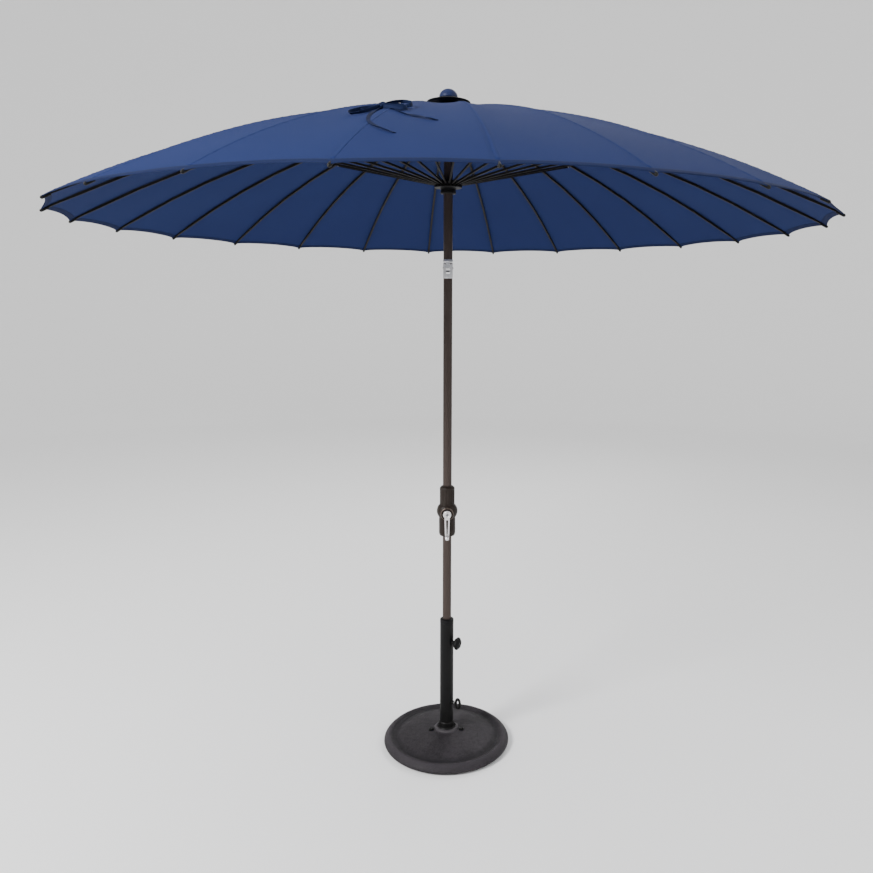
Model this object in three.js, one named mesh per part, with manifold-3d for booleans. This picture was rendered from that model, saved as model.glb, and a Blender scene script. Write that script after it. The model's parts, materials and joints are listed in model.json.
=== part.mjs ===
// Patio umbrella with a weighted base: 24 ribs, a push-button tilt and a crank.
// Millimetres, +Z up, origin under the base on the pole's axis, front towards -Y.
import * as THREE from 'three';
import { mergeVertices } from 'three/addons/utils/BufferGeometryUtils.js';
import Module from 'manifold-3d';

const wasm = await Module();
wasm.setup();

// ---- driving dimensions -------------------------------------------------
const RIB_COUNT = 24;
const FIRST_RIB_AZIMUTH = 10.5; // degrees from +Y towards +X
const CLEARANCE = 0.4; // air kept between pieces that touch
const ROUND = 20; // sides of a small round piece
const PLATE_ROUND = 5; // steps in each quarter or so of a plate's round ends
const SPOKE_ROUND = 2; // the same on ribs and struts

const CANOPY_RADIUS = 1497; // hub axis to the fabric's corners
const CANOPY_TOP = 2755;
const CANOPY_DROP = 476;
const CANOPY_CURVE = 2.5; // power of the curved share of the profile
const CANOPY_SKIN = 3;
const CANOPY_HOLE = 13;
const HEM_SCALLOP = 12; // how far the hem curves in between two ribs

const RIB_END = 1494;
const RIB_WIDTH = 9;
const RIB_HEIGHT = 10;
const RIB_EYE_WIDTH = 6; // where the rib turns in its notch of the crown
const RIB_EYE_LENGTH = 40;
const RIB_BELOW_CANOPY = 5.8; // top of the rib under the fabric's outer face
const RIB_TAPER_START = 1380; // from here to its end the rib thins and nears the fabric
const RIB_END_BELOW_CANOPY = 4.5;
const RIB_END_HEIGHT = 5.5;
const HUB_PIVOT_RADIUS = 50;
const STRUT_JOINT_RADIUS = 668;
const STRUT_JOINT_DROP = 8; // pivot below the rib's underside
const TAB_WIDTH = 2.4;
const STRUT_WIDTH = 7;
const STRUT_HALF_HEIGHT = 4.2;
const STRUT_EYE = 5;
const FORK_SLOT_LENGTH = 24;
const SLOT_WIDTH = 8; // notches of the hub and of the runner
const NOTCH_FLOOR = 43;
const CROWN_RADIUS = 57;

const POLE_RADIUS = 19;
const POLE_WALL = 1.8;
const POLE_BOTTOM = 82;
const TILT_HEIGHT = 2110;
const KNUCKLE_RADIUS = 20.5;
const KNUCKLE_REACH = 24; // pivot to the shoulder of each knuckle
const TONGUE_HALF = 8;
const TONGUE_TIP = 17;
const CHEEK_TIP = 22;
const UPPER_KNUCKLE_LENGTH = 12; // of the plain round part above the fork
const LOWER_KNUCKLE_LENGTH = 19;
const BUTTON_RADIUS = 6;
const BUTTON_TIP = 22.6;
const BUTTON_BACK = 12;

const RUNNER_BORE = 23.8;
const RUNNER_SLEEVE = 32.5;
const RUNNER_LIP = 14; // flange above and below the strut pivots
const RUNNER_SLEEVE_LENGTH = 24;

const FINIAL_DISC_RADIUS = 90;
const FINIAL_DISC_BOTTOM = 2774;
const FINIAL_DISC_TOP = 2791;
const FINIAL_DISC_EDGE = 5; // thickness of the disc's edge
const FINIAL_TOP = 2830;
const FINIAL_DOME_RADIUS = 38;
const FINIAL_NECK_RADIUS = 30;
const FINIAL_NECK_BOTTOM = 2756; // just clear of the fabric's top
const FINIAL_STUD = 9;
const STUD_LENGTH = 58; // below the neck

const HOUSING_TOP = 1179;
const COLLAR_BOTTOM = 1099;
const COLLAR_RADIUS = 32.4;
const FLUTE_COUNT = 12;
const FLUTE_RADIUS = 2.2;
const BALL_HEIGHT = 1068;
const BALL_RADIUS = 45.3;
const BALL_SQUASH = 0.95;
const LOWER_SLEEVE_RADIUS = 35.6;
const HOUSING_BOTTOM = 958;
const BOSS_RADIUS = 25;
const BOSS_FACE = -48; // y of the boss's front face
const CRANK_HEIGHT = 1063;
const CRANK_DISC = 17.5;
const CRANK_THICKNESS = 7;
const CRANK_ARM_LENGTH = 98;
const CRANK_KNOB_RADIUS = 9;
const CRANK_KNOB_LENGTH = 30;

const TUBE_RADIUS = 30;
const TUBE_WALL = 3;
const TUBE_TOP = 579;
const TUBE_COLLAR_RADIUS = 33.5;
const TUBE_COLLAR_TOP = 100;
const TUBE_FOOT = 66;
const GUIDE_LENGTH = 22; // bushing at the mouth of the tube
const UPPER_SCREW_HEIGHT = 471;
const LOWER_SCREW_HEIGHT = 190;
const SCREW_AZIMUTH = 30; // degrees that both thumb screws turn from +X towards -Y
const SCREW_RADIUS = 4;
const SCREW_BOSS = 9;
const SCREW_TIP = 20; // x of the screw's end, just off the pole
const SCREW_HEAD = 47; // x where the head starts
const SCREW_HEAD_REACH = 68;

// ---- shared shapes ------------------------------------------------------
const degrees = (angle) => (angle * Math.PI) / 180;

/** Outer height of the open fabric at a distance from the pole's axis. */
function canopyHeight(radius) {
  const share = radius / CANOPY_RADIUS;
  return CANOPY_TOP - (CANOPY_DROP * (share ** CANOPY_CURVE + share)) / 2;
}

/** A geometry's triangles alone, with shared corners merged. */
function bare(geometry) {
  const copy = geometry.index ? geometry.clone() : mergeVertices(geometry, 1e-4);
  copy.deleteAttribute('normal');
  copy.deleteAttribute('uv');
  return mergeVertices(copy, 1e-3);
}

function toSolid(geometry) {
  const { attributes, index } = bare(geometry);
  const vertProperties = new Float32Array(attributes.position.array);
  const triVerts = new Uint32Array(index.array);
  return new wasm.Manifold(new wasm.Mesh({ numProp: 3, vertProperties, triVerts }));
}

function toGeometry(solid) {
  const mesh = solid.getMesh();
  const geometry = new THREE.BufferGeometry();
  geometry.setAttribute('position', new THREE.BufferAttribute(mesh.vertProperties, 3));
  geometry.setIndex(new THREE.BufferAttribute(mesh.triVerts, 1));
  geometry.computeVertexNormals();
  return geometry;
}

/** Turns a profile of [radius, height] points about the pole's axis. */
function turned(profile, sides = ROUND) {
  const points = profile.map(([radius, height]) => new THREE.Vector2(radius, height));
  const geometry = new THREE.LatheGeometry(points, sides);
  return geometry.rotateX(Math.PI / 2);
}

/** A ring whose profile closes on itself. */
function ring(profile, sides = ROUND) {
  return turned([...profile, profile[0]], sides);
}

function box(low, high) {
  const size = high.map((value, axis) => value - low[axis]);
  const middle = high.map((value, axis) => (value + low[axis]) / 2);
  return new THREE.BoxGeometry(...size).translate(...middle);
}

/** A plate drawn in the x-z plane, centred on y = 0. */
function plate(shape, thickness, curveSegments = PLATE_ROUND) {
  const geometry = new THREE.ExtrudeGeometry(shape, {
    depth: thickness,
    bevelEnabled: false,
    curveSegments,
  });
  return geometry.translate(0, 0, -thickness / 2).rotateX(Math.PI / 2);
}

/** A rod along +X between two distances. */
function rodAlongX(from, to, radius, sides = ROUND) {
  const geometry = new THREE.CylinderGeometry(radius, radius, to - from, sides);
  return geometry.rotateZ(-Math.PI / 2).translate((from + to) / 2, 0, 0);
}

function join(...geometries) {
  const [first, ...others] = geometries.map(toSolid);
  return others.reduce((whole, next) => whole.add(next), first);
}

function cut(solid, ...geometries) {
  return geometries.map(toSolid).reduce((left, tool) => left.subtract(tool), solid);
}

/** The radial notches in which the ribs or the struts turn. */
function notches(low, high) {
  const slot = box([NOTCH_FLOOR, -SLOT_WIDTH / 2, low], [CROWN_RADIUS + 5, SLOT_WIDTH / 2, high]);
  return ribAzimuths().map((azimuth) => slot.clone().rotateZ(azimuth));
}

/** Each rib's turn about +Z that carries the +X axis onto it. */
function ribAzimuths() {
  const step = 360 / RIB_COUNT;
  const angle = (index) => degrees(90 - FIRST_RIB_AZIMUTH - step * index);
  return Array.from({ length: RIB_COUNT }, (_, index) => angle(index));
}

// ---- the fold's pivots --------------------------------------------------
const ribMiddleDrop = RIB_BELOW_CANOPY + RIB_HEIGHT / 2;
const hubPivotHeight = canopyHeight(HUB_PIVOT_RADIUS) - ribMiddleDrop;
const strutJointHeight =
  canopyHeight(STRUT_JOINT_RADIUS) - RIB_BELOW_CANOPY - RIB_HEIGHT - STRUT_JOINT_DROP;
// rib arm and strut are equally long, so the runner's pivots mirror the hub's
const runnerPivotHeight = 2 * strutJointHeight - hubPivotHeight;

// ---- canopy and its frame -----------------------------------------------
/** One shell with a corner at each rib and a hem that curves in between. */
function canopy() {
  const rows = 10;
  const radii = Array.from({ length: rows + 1 }, (_, row) =>
    THREE.MathUtils.lerp(CANOPY_HOLE, CANOPY_RADIUS, row / rows));
  const inner = radii.map((radius) => [radius, canopyHeight(radius) - CANOPY_SKIN]);
  const outer = radii.map((radius) => [radius, canopyHeight(radius)]).reverse();
  const shell = ring([...inner, ...outer], RIB_COUNT * 2);
  const place = shell.attributes.position;
  const halfGore = Math.PI / RIB_COUNT;
  for (let index = 0; index < place.count; index += 1) {
    const x = place.getX(index);
    const y = place.getY(index);
    const isBetweenRibs = Math.round(Math.atan2(y, x) / halfGore) % 2 !== 0;
    const share = Math.hypot(x, y) / CANOPY_RADIUS;
    const pulledIn = Math.cos(halfGore) * (1 - (HEM_SCALLOP / CANOPY_RADIUS) * share ** 6);
    const scale = isBetweenRibs ? pulledIn : 1;
    place.setXY(index, x * scale, y * scale);
  }
  return shell.rotateZ(ribAzimuths()[0]);
}

/** A rib along +X with the tab that its strut turns on. */
function rib() {
  const barStart = HUB_PIVOT_RADIUS + RIB_EYE_LENGTH - 10;
  const stations = [
    barStart, 300, 490, STRUT_JOINT_RADIUS, 870, 1060, 1230, RIB_TAPER_START, 1440, RIB_END,
  ];
  const taper = (radius, full, end) =>
    THREE.MathUtils.mapLinear(Math.max(radius, RIB_TAPER_START), RIB_TAPER_START, RIB_END, full, end);
  const top = (radius) =>
    canopyHeight(radius) - taper(radius, RIB_BELOW_CANOPY, RIB_END_BELOW_CANOPY);
  const bottom = (radius) => top(radius) - taper(radius, RIB_HEIGHT, RIB_END_HEIGHT);
  const bar = new THREE.Shape();
  bar.setFromPoints([
    ...stations.map((radius) => new THREE.Vector2(radius, bottom(radius))),
    ...[...stations].reverse().map((radius) => new THREE.Vector2(radius, top(radius))),
  ]);
  const eyeEnd = HUB_PIVOT_RADIUS + RIB_EYE_LENGTH;
  const eye = new THREE.Shape();
  eye.absarc(HUB_PIVOT_RADIUS, hubPivotHeight, RIB_HEIGHT / 2, degrees(90), degrees(270));
  eye.lineTo(eyeEnd, bottom(eyeEnd) + 1);
  eye.lineTo(eyeEnd, top(eyeEnd) - 1);
  const tab = new THREE.Shape();
  tab.absarc(STRUT_JOINT_RADIUS, strutJointHeight, STRUT_EYE, degrees(180), degrees(360));
  const tabTop = top(STRUT_JOINT_RADIUS) - RIB_HEIGHT / 2;
  tab.lineTo(STRUT_JOINT_RADIUS + 3 * STRUT_EYE, tabTop - 2);
  tab.lineTo(STRUT_JOINT_RADIUS - 3 * STRUT_EYE, tabTop + 2);
  return toGeometry(join(
    plate(bar, RIB_WIDTH),
    plate(eye, RIB_EYE_WIDTH, SPOKE_ROUND),
    plate(tab, TAB_WIDTH, SPOKE_ROUND),
  ));
}

/** A strut along +X from the runner's pivot up to the rib's tab, forked there. */
function strut() {
  const run = STRUT_JOINT_RADIUS - HUB_PIVOT_RADIUS;
  const rise = strutJointHeight - runnerPivotHeight;
  const length = Math.hypot(run, rise);
  const outline = new THREE.Shape();
  outline.absarc(0, 0, STRUT_EYE, degrees(60), degrees(300));
  outline.lineTo(10, -STRUT_HALF_HEIGHT);
  outline.lineTo(length - 10, -STRUT_HALF_HEIGHT);
  outline.absarc(length, 0, STRUT_EYE, degrees(240), degrees(480));
  outline.lineTo(length - 10, STRUT_HALF_HEIGHT);
  outline.lineTo(10, STRUT_HALF_HEIGHT);
  const halfSlot = TAB_WIDTH / 2 + CLEARANCE;
  const slot = box([length - FORK_SLOT_LENGTH, -halfSlot, -20], [length + 20, halfSlot, 20]);
  const forked = cut(toSolid(plate(outline, STRUT_WIDTH, SPOKE_ROUND)), slot);
  const placed = toGeometry(forked).rotateY(-Math.atan2(rise, run));
  return placed.translate(HUB_PIVOT_RADIUS, 0, runnerPivotHeight);
}

/** The pole above the tilt: knuckle tongue, tube and notched crown. */
function upperPole() {
  const shoulder = TILT_HEIGHT + KNUCKLE_REACH;
  const tubeStart = shoulder + UPPER_KNUCKLE_LENGTH;
  const crownTop = hubPivotHeight + 4.2;
  const crownBottom = hubPivotHeight - 11;
  const bore = POLE_RADIUS - POLE_WALL;
  const body = turned([
    [0, shoulder],
    [KNUCKLE_RADIUS - 2, shoulder],
    [KNUCKLE_RADIUS, shoulder + 2],
    [KNUCKLE_RADIUS, tubeStart - 3],
    [POLE_RADIUS, tubeStart],
    [POLE_RADIUS, crownBottom - 16],
    [POLE_RADIUS + 6, crownBottom - 14],
    [POLE_RADIUS + 6, crownBottom],
    [CROWN_RADIUS, crownBottom],
    [CROWN_RADIUS, crownTop],
    [FINIAL_STUD + CLEARANCE, crownTop],
    [FINIAL_STUD + CLEARANCE, crownBottom],
    [bore, crownBottom],
    [bore, tubeStart],
    [0, tubeStart],
  ], 32);
  const tongue = new THREE.Shape();
  tongue.absarc(0, 0, TONGUE_TIP, degrees(180), degrees(360));
  tongue.lineTo(TONGUE_TIP, KNUCKLE_REACH + 1);
  tongue.lineTo(-TONGUE_TIP, KNUCKLE_REACH + 1);
  const tonguePlate = plate(tongue, 2 * TONGUE_HALF)
    .rotateZ(Math.PI / 2)
    .translate(0, 0, TILT_HEIGHT);
  const trimmed = toSolid(tonguePlate)
    .intersect(toSolid(turned([
      [0, TILT_HEIGHT - 2 * TONGUE_TIP],
      [KNUCKLE_RADIUS - 2, TILT_HEIGHT - 2 * TONGUE_TIP],
      [KNUCKLE_RADIUS - 2, shoulder + 1],
      [0, shoulder + 1],
    ], 32)));
  const notched = cut(toSolid(body), ...notches(crownBottom - 1, crownTop + 1));
  return toGeometry(notched.add(trimmed));
}

/** The pole below the tilt, with the fork that holds the tongue. */
function lowerPole() {
  const shoulder = TILT_HEIGHT - KNUCKLE_REACH;
  const tubeEnd = shoulder - LOWER_KNUCKLE_LENGTH;
  const bore = POLE_RADIUS - POLE_WALL;
  const body = turned([
    [bore, POLE_BOTTOM],
    [POLE_RADIUS, POLE_BOTTOM],
    [POLE_RADIUS, tubeEnd],
    [KNUCKLE_RADIUS, tubeEnd + 3],
    [KNUCKLE_RADIUS, TILT_HEIGHT + CHEEK_TIP],
    [0, TILT_HEIGHT + CHEEK_TIP],
    [0, tubeEnd],
    [bore, tubeEnd],
    [bore, POLE_BOTTOM],
  ], 24);
  const cheek = new THREE.Shape();
  cheek.absarc(0, 0, CHEEK_TIP, 0, Math.PI);
  cheek.lineTo(-CHEEK_TIP, POLE_BOTTOM - TILT_HEIGHT - 1);
  cheek.lineTo(CHEEK_TIP, POLE_BOTTOM - TILT_HEIGHT - 1);
  const envelope = plate(cheek, 4 * CHEEK_TIP).rotateZ(Math.PI / 2).translate(0, 0, TILT_HEIGHT);
  const halfGap = TONGUE_HALF + CLEARANCE;
  const gap = box([-halfGap, -40, shoulder], [halfGap, 40, TILT_HEIGHT + 40]);
  const buttonHole = rodAlongX(-30, -TONGUE_HALF, BUTTON_RADIUS + CLEARANCE)
    .translate(0, 0, TILT_HEIGHT);
  const rounded = toSolid(body).intersect(toSolid(envelope));
  return toGeometry(cut(rounded, gap, buttonHole));
}

function tiltButton() {
  const button = rodAlongX(-BUTTON_TIP, -BUTTON_BACK, BUTTON_RADIUS);
  return bare(button.translate(0, 0, TILT_HEIGHT));
}

/** The sleeve that slides on the pole and spreads the struts. */
function runner() {
  const top = runnerPivotHeight + RUNNER_LIP;
  const flangeBottom = runnerPivotHeight - RUNNER_LIP;
  const body = ring([
    [RUNNER_BORE, flangeBottom - RUNNER_SLEEVE_LENGTH],
    [RUNNER_SLEEVE - 2, flangeBottom - RUNNER_SLEEVE_LENGTH],
    [RUNNER_SLEEVE, flangeBottom - RUNNER_SLEEVE_LENGTH + 2],
    [RUNNER_SLEEVE, flangeBottom],
    [CROWN_RADIUS, flangeBottom],
    [CROWN_RADIUS, top],
    [RUNNER_BORE, top],
  ], 32);
  return toGeometry(cut(toSolid(body), ...notches(flangeBottom - 1, top + 1)));
}

/** A dome on a disc and its neck, on the stud that holds the fabric to the crown. */
function finial() {
  const dome = Array.from({ length: 6 }, (_, step) => {
    const angle = degrees(15 * step);
    const rise = (FINIAL_TOP - FINIAL_DISC_TOP - 8) * Math.sin(angle);
    return [FINIAL_DOME_RADIUS * Math.cos(angle), FINIAL_DISC_TOP + 8 + rise];
  });
  return turned([
    [0, FINIAL_NECK_BOTTOM - STUD_LENGTH],
    [FINIAL_STUD, FINIAL_NECK_BOTTOM - STUD_LENGTH],
    [FINIAL_STUD, FINIAL_NECK_BOTTOM],
    [FINIAL_NECK_RADIUS - 4, FINIAL_NECK_BOTTOM],
    [FINIAL_NECK_RADIUS, FINIAL_NECK_BOTTOM + 3],
    [FINIAL_NECK_RADIUS + 16, FINIAL_DISC_BOTTOM - 3],
    [FINIAL_DISC_RADIUS, FINIAL_DISC_BOTTOM],
    [FINIAL_DISC_RADIUS, FINIAL_DISC_BOTTOM + FINIAL_DISC_EDGE],
    [FINIAL_DOME_RADIUS, FINIAL_DISC_TOP],
    ...dome,
    [0, FINIAL_TOP],
  ], 32);
}

// ---- crank --------------------------------------------------------------
/** The housing round the pole: fluted collar, ball and lower sleeve. */
function crankHousing() {
  const bore = POLE_RADIUS + CLEARANCE;
  const ballReach = Math.sqrt(1 - (LOWER_SLEEVE_RADIUS / BALL_RADIUS) ** 2);
  const start = Math.asin(ballReach);
  const ball = Array.from({ length: 7 }, (_, step) => {
    const angle = THREE.MathUtils.lerp(-start, start, step / 6);
    const rise = BALL_RADIUS * BALL_SQUASH * Math.sin(angle);
    return [BALL_RADIUS * Math.cos(angle), BALL_HEIGHT + rise];
  });
  const body = ring([
    [bore, HOUSING_BOTTOM],
    [LOWER_SLEEVE_RADIUS - 6, HOUSING_BOTTOM],
    [LOWER_SLEEVE_RADIUS - 2, HOUSING_BOTTOM + 4],
    [LOWER_SLEEVE_RADIUS, HOUSING_BOTTOM + 12],
    ...ball,
    [COLLAR_RADIUS, COLLAR_BOTTOM + 2],
    [COLLAR_RADIUS, HOUSING_TOP - 8],
    [COLLAR_RADIUS - 6, HOUSING_TOP],
    [bore, HOUSING_TOP],
  ], 32);
  const flute = new THREE.CylinderGeometry(FLUTE_RADIUS, FLUTE_RADIUS, 58, 6)
    .rotateX(Math.PI / 2)
    .translate(COLLAR_RADIUS + 0.8, 0, (COLLAR_BOTTOM + HOUSING_TOP) / 2);
  const flutes = Array.from({ length: FLUTE_COUNT }, (_, index) =>
    flute.clone().rotateZ((2 * Math.PI * (index + 0.5)) / FLUTE_COUNT));
  const bossLength = 40;
  const boss = new THREE.CylinderGeometry(BOSS_RADIUS, BOSS_RADIUS + 3, bossLength, ROUND)
    .rotateX(Math.PI)
    .translate(0, BOSS_FACE + bossLength / 2, CRANK_HEIGHT);
  const poleHole = new THREE.CylinderGeometry(bore, bore, 400, 32)
    .rotateX(Math.PI / 2)
    .translate(0, 0, CRANK_HEIGHT);
  return toGeometry(cut(join(body, boss), ...flutes, poleHole));
}

/** Crank: a disc with a tapering arm and a knob at its end. */
function crankHandle() {
  const back = BOSS_FACE - CLEARANCE;
  const outline = new THREE.Shape();
  outline.absarc(0, 0, CRANK_DISC, degrees(-50), degrees(230));
  outline.lineTo(-CRANK_KNOB_RADIUS, -CRANK_ARM_LENGTH);
  outline.absarc(0, -CRANK_ARM_LENGTH, CRANK_KNOB_RADIUS, degrees(180), degrees(360));
  const arm = plate(outline, CRANK_THICKNESS)
    .translate(0, back - CRANK_THICKNESS / 2, CRANK_HEIGHT);
  const knobMiddle = back - CRANK_THICKNESS - CRANK_KNOB_LENGTH / 2 + 1;
  const knob = new THREE.CylinderGeometry(
    CRANK_KNOB_RADIUS, CRANK_KNOB_RADIUS - 1.5, CRANK_KNOB_LENGTH, ROUND)
    .translate(0, knobMiddle, CRANK_HEIGHT - CRANK_ARM_LENGTH);
  return toGeometry(join(arm, knob));
}

// ---- base ---------------------------------------------------------------
/** The weight: a low dome with a groove inside its thick rim. */
function baseWeight() {
  return turned([
    [0, 0],
    [257, 0],
    [271, 4],
    [279, 11],
    [280, 17],
    [275, 27],
    [261, 39],
    [252, 41.5],
    [243, 37],
    [234, 32.5],
    [224, 33],
    [208, 40],
    [180, 47.5],
    [120, 56.5],
    [62, 61],
    [45, TUBE_FOOT - CLEARANCE],
    [0, TUBE_FOOT - CLEARANCE],
  ], 48);
}

/** The tube that holds the pole, with a screw boss for each thumb screw. */
function baseTube() {
  const bore = TUBE_RADIUS - TUBE_WALL;
  const guide = POLE_RADIUS + CLEARANCE;
  const body = turned([
    [0, TUBE_FOOT],
    [TUBE_COLLAR_RADIUS + 6, TUBE_FOOT],
    [TUBE_COLLAR_RADIUS, TUBE_FOOT + 8],
    [TUBE_COLLAR_RADIUS, TUBE_COLLAR_TOP - 6],
    [TUBE_RADIUS, TUBE_COLLAR_TOP],
    [TUBE_RADIUS, TUBE_TOP - 5],
    [TUBE_RADIUS - 4, TUBE_TOP],
    [guide, TUBE_TOP],
    [guide, TUBE_TOP - GUIDE_LENGTH],
    [bore, TUBE_TOP - GUIDE_LENGTH],
    [bore, POLE_BOTTOM - CLEARANCE],
    [0, POLE_BOTTOM - CLEARANCE],
  ], 32);
  const heights = [UPPER_SCREW_HEIGHT, LOWER_SCREW_HEIGHT];
  const bosses = heights.map((height) =>
    turnToScrews(rodAlongX(bore + 1, TUBE_RADIUS + 7, SCREW_BOSS).translate(0, 0, height)));
  const holes = heights.map((height) =>
    turnToScrews(rodAlongX(bore - 6, TUBE_RADIUS + 12, SCREW_RADIUS + CLEARANCE, 16)
      .translate(0, 0, height)));
  return toGeometry(cut(join(body, ...bosses), ...holes));
}

/** Turns a piece drawn along +X to the side that the thumb screws are on. */
function turnToScrews(geometry) {
  return geometry.rotateZ(-degrees(SCREW_AZIMUTH));
}

/** A thumb screw with a round knob. */
function knobScrew(height) {
  const stem = rodAlongX(SCREW_TIP, SCREW_HEAD + 2, SCREW_RADIUS, 12);
  const head = new THREE.LatheGeometry([
    new THREE.Vector2(0, SCREW_HEAD - 6),
    new THREE.Vector2(11, SCREW_HEAD - 6),
    new THREE.Vector2(20, SCREW_HEAD - 3),
    new THREE.Vector2(27, SCREW_HEAD + 2),
    new THREE.Vector2(28, SCREW_HEAD + 8),
    new THREE.Vector2(24, SCREW_HEAD_REACH - 4),
    new THREE.Vector2(12, SCREW_HEAD_REACH - 0.5),
    new THREE.Vector2(0, SCREW_HEAD_REACH),
  ], 20).rotateZ(-Math.PI / 2);
  return turnToScrews(toGeometry(join(stem, head)).translate(0, 0, height));
}

/** A thumb screw with an eye-shaped head. */
function eyeScrew(height) {
  const stem = rodAlongX(SCREW_TIP, SCREW_HEAD, SCREW_RADIUS, 12);
  const eye = new THREE.Shape();
  eye.absellipse(SCREW_HEAD + 11, 0, 15, 27, 0, 2 * Math.PI);
  const hole = new THREE.Path();
  hole.absellipse(SCREW_HEAD + 11, 0, 5.5, 17, 0, 2 * Math.PI, true);
  eye.holes.push(hole);
  return turnToScrews(toGeometry(join(stem, plate(eye, 9))).translate(0, 0, height));
}

// ---- materials and assembly ---------------------------------------------
function material(color, roughness, metalness) {
  return new THREE.MeshStandardMaterial({ color, roughness, metalness });
}

const finishes = {
  fabric: material('#38497a', 0.9, 0),
  navyPlastic: material('#31395f', 0.45, 0),
  blackPlastic: material('#26262a', 0.5, 0),
  darkSteel: material('#2b2f3a', 0.45, 0.4),
  bronzeTube: material('#5b524e', 0.4, 0.5),
  castSilver: material('#a9abad', 0.35, 0.9),
  bronzePlastic: material('#342f2d', 0.5, 0.1),
  blackSteel: material('#212121', 0.5, 0.4),
  baseCoat: material('#403c41', 0.7, 0.1),
};

const umbrella = new THREE.Group();

function place(name, geometry, finish, parent = umbrella) {
  const mesh = new THREE.Mesh(geometry, finishes[finish].clone());
  mesh.name = name;
  parent.add(mesh);
}

place('base_weight', baseWeight(), 'baseCoat');
place('base_tube', baseTube(), 'blackSteel');
place('thumb_screw_upper', knobScrew(UPPER_SCREW_HEIGHT), 'blackPlastic');
place('thumb_screw_lower', eyeScrew(LOWER_SCREW_HEIGHT), 'blackSteel');
place('lower_pole', lowerPole(), 'bronzeTube');
place('crank_housing', crankHousing(), 'bronzePlastic');
place('crank_handle', crankHandle(), 'castSilver');
place('tilt_button', tiltButton(), 'castSilver');
place('upper_pole', upperPole(), 'bronzeTube');
place('runner', runner(), 'blackPlastic');
place('finial', finial(), 'navyPlastic');
place('canopy', canopy(), 'fabric');

ribAzimuths().forEach((azimuth, index) => {
  const spoke = new THREE.Group();
  spoke.rotation.z = azimuth;
  umbrella.add(spoke);
  const number = String(index + 1).padStart(2, '0');
  place(`rib_${number}`, rib(), 'darkSteel', spoke);
  place(`strut_${number}`, strut(), 'darkSteel', spoke);
});

export default umbrella;
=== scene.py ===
import json
import math

import bmesh
import bpy
from mathutils import Matrix, Vector, noise

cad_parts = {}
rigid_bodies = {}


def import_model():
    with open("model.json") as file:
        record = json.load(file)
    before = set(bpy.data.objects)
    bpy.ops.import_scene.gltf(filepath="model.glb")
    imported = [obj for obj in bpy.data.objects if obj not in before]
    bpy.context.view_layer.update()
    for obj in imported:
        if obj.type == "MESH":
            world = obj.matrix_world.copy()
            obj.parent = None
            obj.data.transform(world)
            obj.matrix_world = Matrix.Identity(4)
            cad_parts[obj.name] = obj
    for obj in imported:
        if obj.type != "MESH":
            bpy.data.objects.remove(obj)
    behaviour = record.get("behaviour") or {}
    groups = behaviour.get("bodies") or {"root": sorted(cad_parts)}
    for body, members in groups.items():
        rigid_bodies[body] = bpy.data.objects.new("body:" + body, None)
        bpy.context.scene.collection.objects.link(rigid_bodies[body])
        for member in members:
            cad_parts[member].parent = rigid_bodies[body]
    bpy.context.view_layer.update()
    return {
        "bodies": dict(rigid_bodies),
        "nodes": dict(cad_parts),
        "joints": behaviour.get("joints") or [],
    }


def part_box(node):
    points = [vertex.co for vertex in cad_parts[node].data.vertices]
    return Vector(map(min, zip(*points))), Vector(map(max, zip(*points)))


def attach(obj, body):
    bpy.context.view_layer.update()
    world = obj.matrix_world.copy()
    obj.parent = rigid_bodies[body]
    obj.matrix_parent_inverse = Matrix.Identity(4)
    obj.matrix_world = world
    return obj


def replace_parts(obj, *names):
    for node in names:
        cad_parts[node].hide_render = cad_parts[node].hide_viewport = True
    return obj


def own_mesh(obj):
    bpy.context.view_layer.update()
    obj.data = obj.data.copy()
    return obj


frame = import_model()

joints = {joint["name"]: joint for joint in frame["joints"]}

# ---- driving dimensions, in metres ----------------------------------------
CANOPY_RADIUS = 1.497
CANOPY_DROP = 0.476
CANOPY_CURVE = 2.5
CANOPY_HOLE = 0.014
HEM_SCALLOP = 0.012
FABRIC_SAG = 0.006
CORNER_DROP = 0.004  # of the fabric's corner, where it wraps the rib's end
RIPPLE_HEIGHT = 0.0016
PUCKER_HEIGHT = 0.0005
FABRIC_THICKNESS = 0.0012
HEM_WIDTH = 0.021
HEM_HALF_THICKNESS = 0.0017
SEAM_HALF_WIDTH = 0.006
SEAM_START = 0.065  # as a share of the radius, where the seams leave the finial
STITCH_PITCH = 0.012
STITCH_LENGTH = 0.0075
STITCH_RADIUS = 0.0005
RIB_END = 1.494
RIB_END_DROP = 0.0072  # middle of the rib's end below the fabric's outer face
RIB_CAP_RADIUS = 0.0056
HUB_WIRE_RADIUS = 0.0012
NOTCH_START = 0.043
NOTCH_END = 0.07
NOTCH_HALF_WIDTH = 0.004
DOME_RADIUS = 0.038
POLE_RADIUS = 0.019
POLE_WALL = 0.0018
KNUCKLE_RADIUS = 0.0205
KNUCKLE_REACH = 0.024
UPPER_KNUCKLE_LENGTH = 0.012
LOWER_KNUCKLE_LENGTH = 0.019
BASE_HUB_EDGE = 0.05
BASE_RIM_CREST = 0.262
BASE_RIM_GROOVE = 0.226
BOW_KNOT = (-0.199, -0.872)
BOW_RIB = "rib_13"
BOW_WIDTH = 0.01
BOW_THICKNESS = 0.0014
CAMERA_PLACE = (0, -3.331, 1.952)
CAMERA_PITCH = -7.327  # angles in degrees
CAMERA_YAW = 2.123
CAMERA_ROLL = 0.458
CAMERA_LENS = 32.287  # in millimetres, on a 36 mm sensor
CAMERA_SHIFT = (-0.0456, -0.0337)

RIBS = sorted(name for name in frame["bodies"] if name.startswith("rib_"))
HALF_GORE = math.pi / len(RIBS)
CANOPY_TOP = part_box("canopy")[1][2]


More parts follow.
